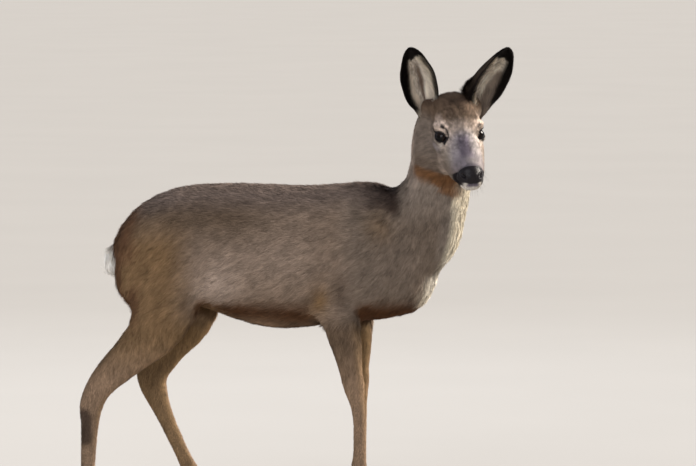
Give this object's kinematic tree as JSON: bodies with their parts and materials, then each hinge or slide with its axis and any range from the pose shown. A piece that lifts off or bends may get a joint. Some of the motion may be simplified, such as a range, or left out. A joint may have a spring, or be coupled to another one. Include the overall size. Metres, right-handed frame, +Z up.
{
  "type": "roe deer doe",
  "caption": "Young roe deer doe in winter coat, a still life-size model that stands with one hind leg forward and looks over its right shoulder.",
  "frame": {"origin": "centre of the bounding box on the floor, under the belly", "axes": "+X along the body towards the chest, +Y to the animal's left, +Z up from the floor; the head is turned towards -Y"},
  "size_m": [0.8642, 0.301, 0.9321],
  "materials": {
    "coat": "dense matt grey-brown winter hair",
    "ear": "short dark hair outside, pale hair inside",
    "tail": "soft white hair",
    "nose": "moist black hairless skin",
    "eye": "wet, very dark brown",
    "hoof": "worn black-brown horn"
  },
  "bodies": {
    "root": {"ear_left": "ear", "ear_right": "ear", "eye_left": "eye", "eye_right": "eye", "foreleg_left_cannon": "coat", "foreleg_left_dewclaw_left": "hoof", "foreleg_left_dewclaw_right": "hoof", "foreleg_left_forearm": "coat", "foreleg_left_hoof_left": "hoof", "foreleg_left_hoof_right": "hoof", "foreleg_left_pastern": "coat", "foreleg_right_cannon": "coat", "foreleg_right_dewclaw_left": "hoof", "foreleg_right_dewclaw_right": "hoof", "foreleg_right_forearm": "coat", "foreleg_right_hoof_left": "hoof", "foreleg_right_hoof_right": "hoof", "foreleg_right_pastern": "coat", "head": "coat", "hindleg_left_cannon": "coat", "hindleg_left_dewclaw_left": "hoof", "hindleg_left_dewclaw_right": "hoof", "hindleg_left_gaskin": "coat", "hindleg_left_hoof_left": "hoof", "hindleg_left_hoof_right": "hoof", "hindleg_left_pastern": "coat", "hindleg_left_thigh": "coat", "hindleg_right_cannon": "coat", "hindleg_right_dewclaw_left": "hoof", "hindleg_right_dewclaw_right": "hoof", "hindleg_right_gaskin": "coat", "hindleg_right_hoof_left": "hoof", "hindleg_right_hoof_right": "hoof", "hindleg_right_pastern": "coat", "hindleg_right_thigh": "coat", "neck": "coat", "nose": "nose", "tail": "tail", "trunk": "coat"}
  },
  "joints": []
}
